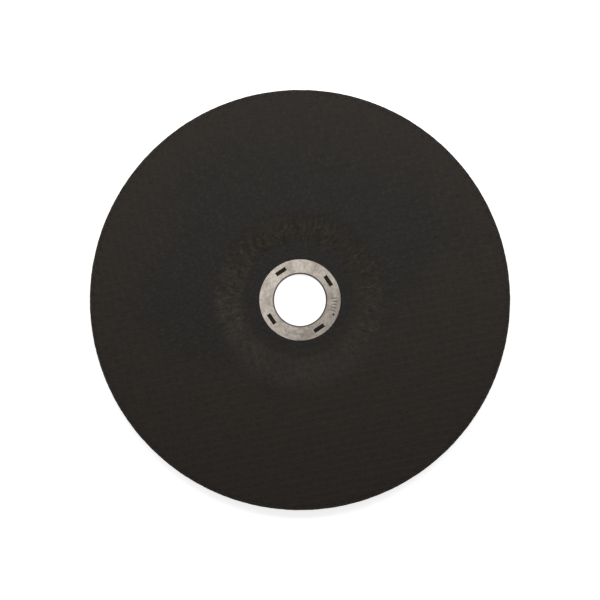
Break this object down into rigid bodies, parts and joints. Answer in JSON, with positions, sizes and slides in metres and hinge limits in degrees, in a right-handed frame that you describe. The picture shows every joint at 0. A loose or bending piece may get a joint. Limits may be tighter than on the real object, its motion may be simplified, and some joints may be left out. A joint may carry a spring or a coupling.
{
  "type": "depressed-centre cut-off wheel",
  "caption": "Thin black resin-bonded cut-off wheel with a depressed centre, a glass-fibre net in its face and a stamped steel centre ring with lanced slots",
  "frame": {"origin": "on the bore axis, in the plane of the back of the hub, which the wheel rests on with its hollow side up", "axes": "+Z is the axis of rotation and points out of the hollow side; X and Y lie in the plane of the wheel"},
  "size_m": [0.18, 0.18, 0.0078],
  "materials": {
    "bonded_abrasive": "matt near-black resin-bonded grain, rough at the rim",
    "ring_steel": "dull mottled zinc-coated sheet steel",
    "glass_net": "glass-fibre threads under black resin"
  },
  "bodies": {
    "root": {"abrasive_disc": "bonded_abrasive", "centre_ring": "ring_steel", "front_net": "glass_net"}
  },
  "joints": []
}
